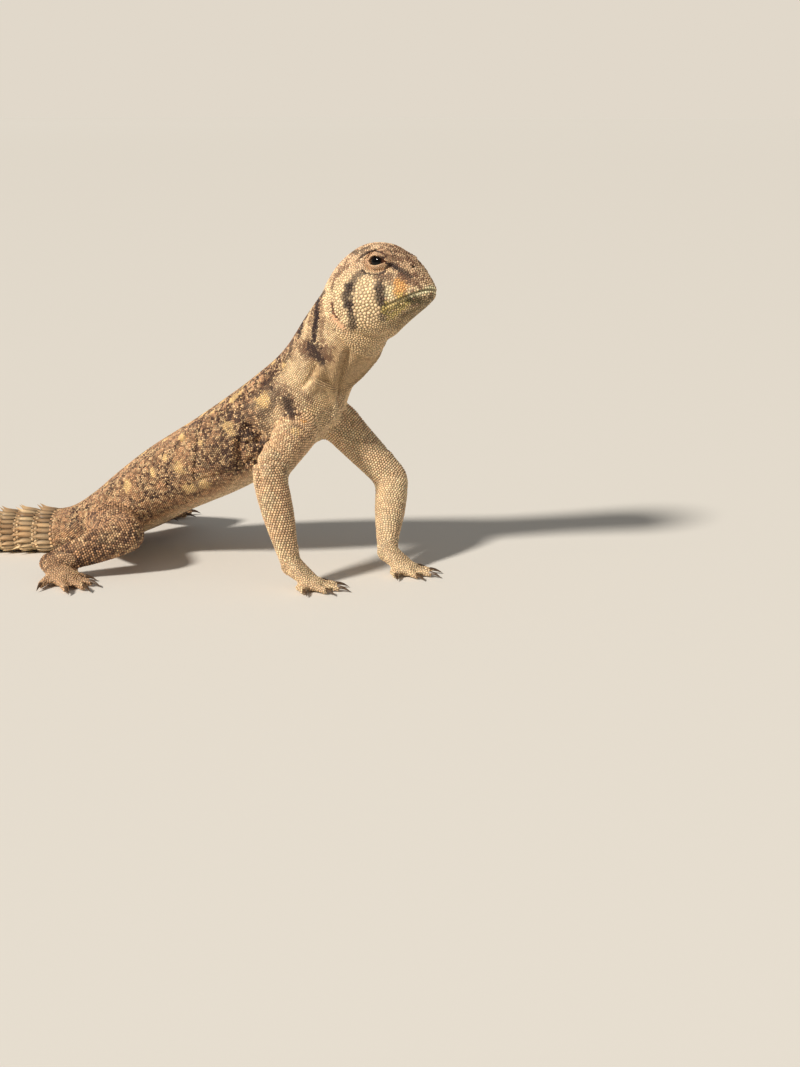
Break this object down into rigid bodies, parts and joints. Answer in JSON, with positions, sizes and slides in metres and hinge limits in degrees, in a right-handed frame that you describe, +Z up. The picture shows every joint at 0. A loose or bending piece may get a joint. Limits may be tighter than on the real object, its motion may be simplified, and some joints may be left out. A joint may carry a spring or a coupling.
{
  "type": "uromastyx",
  "caption": "Life-size still uromastyx propped up on its forelegs, with its head raised and turned and its spiny tail laid along the floor.",
  "frame": {"origin": "on the floor, under the middle of the animal's box", "axes": "+X from hips to shoulders, +Y to the animal's left, +Z up from the floor"},
  "size_m": [0.2224, 0.1258, 0.1003],
  "materials": {
    "skin": "satin",
    "pale_skin": "satin",
    "tail_skin": "satin",
    "eye": "polished",
    "claw": "satin"
  },
  "bodies": {
    "root": {"head": "skin", "neck": "skin", "torso": "skin", "tail_base": "tail_skin", "tail_upper": "tail_skin", "tail_lower": "tail_skin", "tail_tip": "tail_skin", "eye_right": "eye", "eye_left": "eye", "front_right_upper_arm": "skin", "front_right_forearm": "pale_skin", "front_right_hand": "pale_skin", "front_left_upper_arm": "skin", "front_left_forearm": "pale_skin", "front_left_hand": "pale_skin", "hind_right_thigh": "skin", "hind_right_shank": "pale_skin", "hind_right_foot": "pale_skin", "hind_left_thigh": "skin", "hind_left_shank": "pale_skin", "hind_left_foot": "pale_skin"}
  },
  "joints": []
}
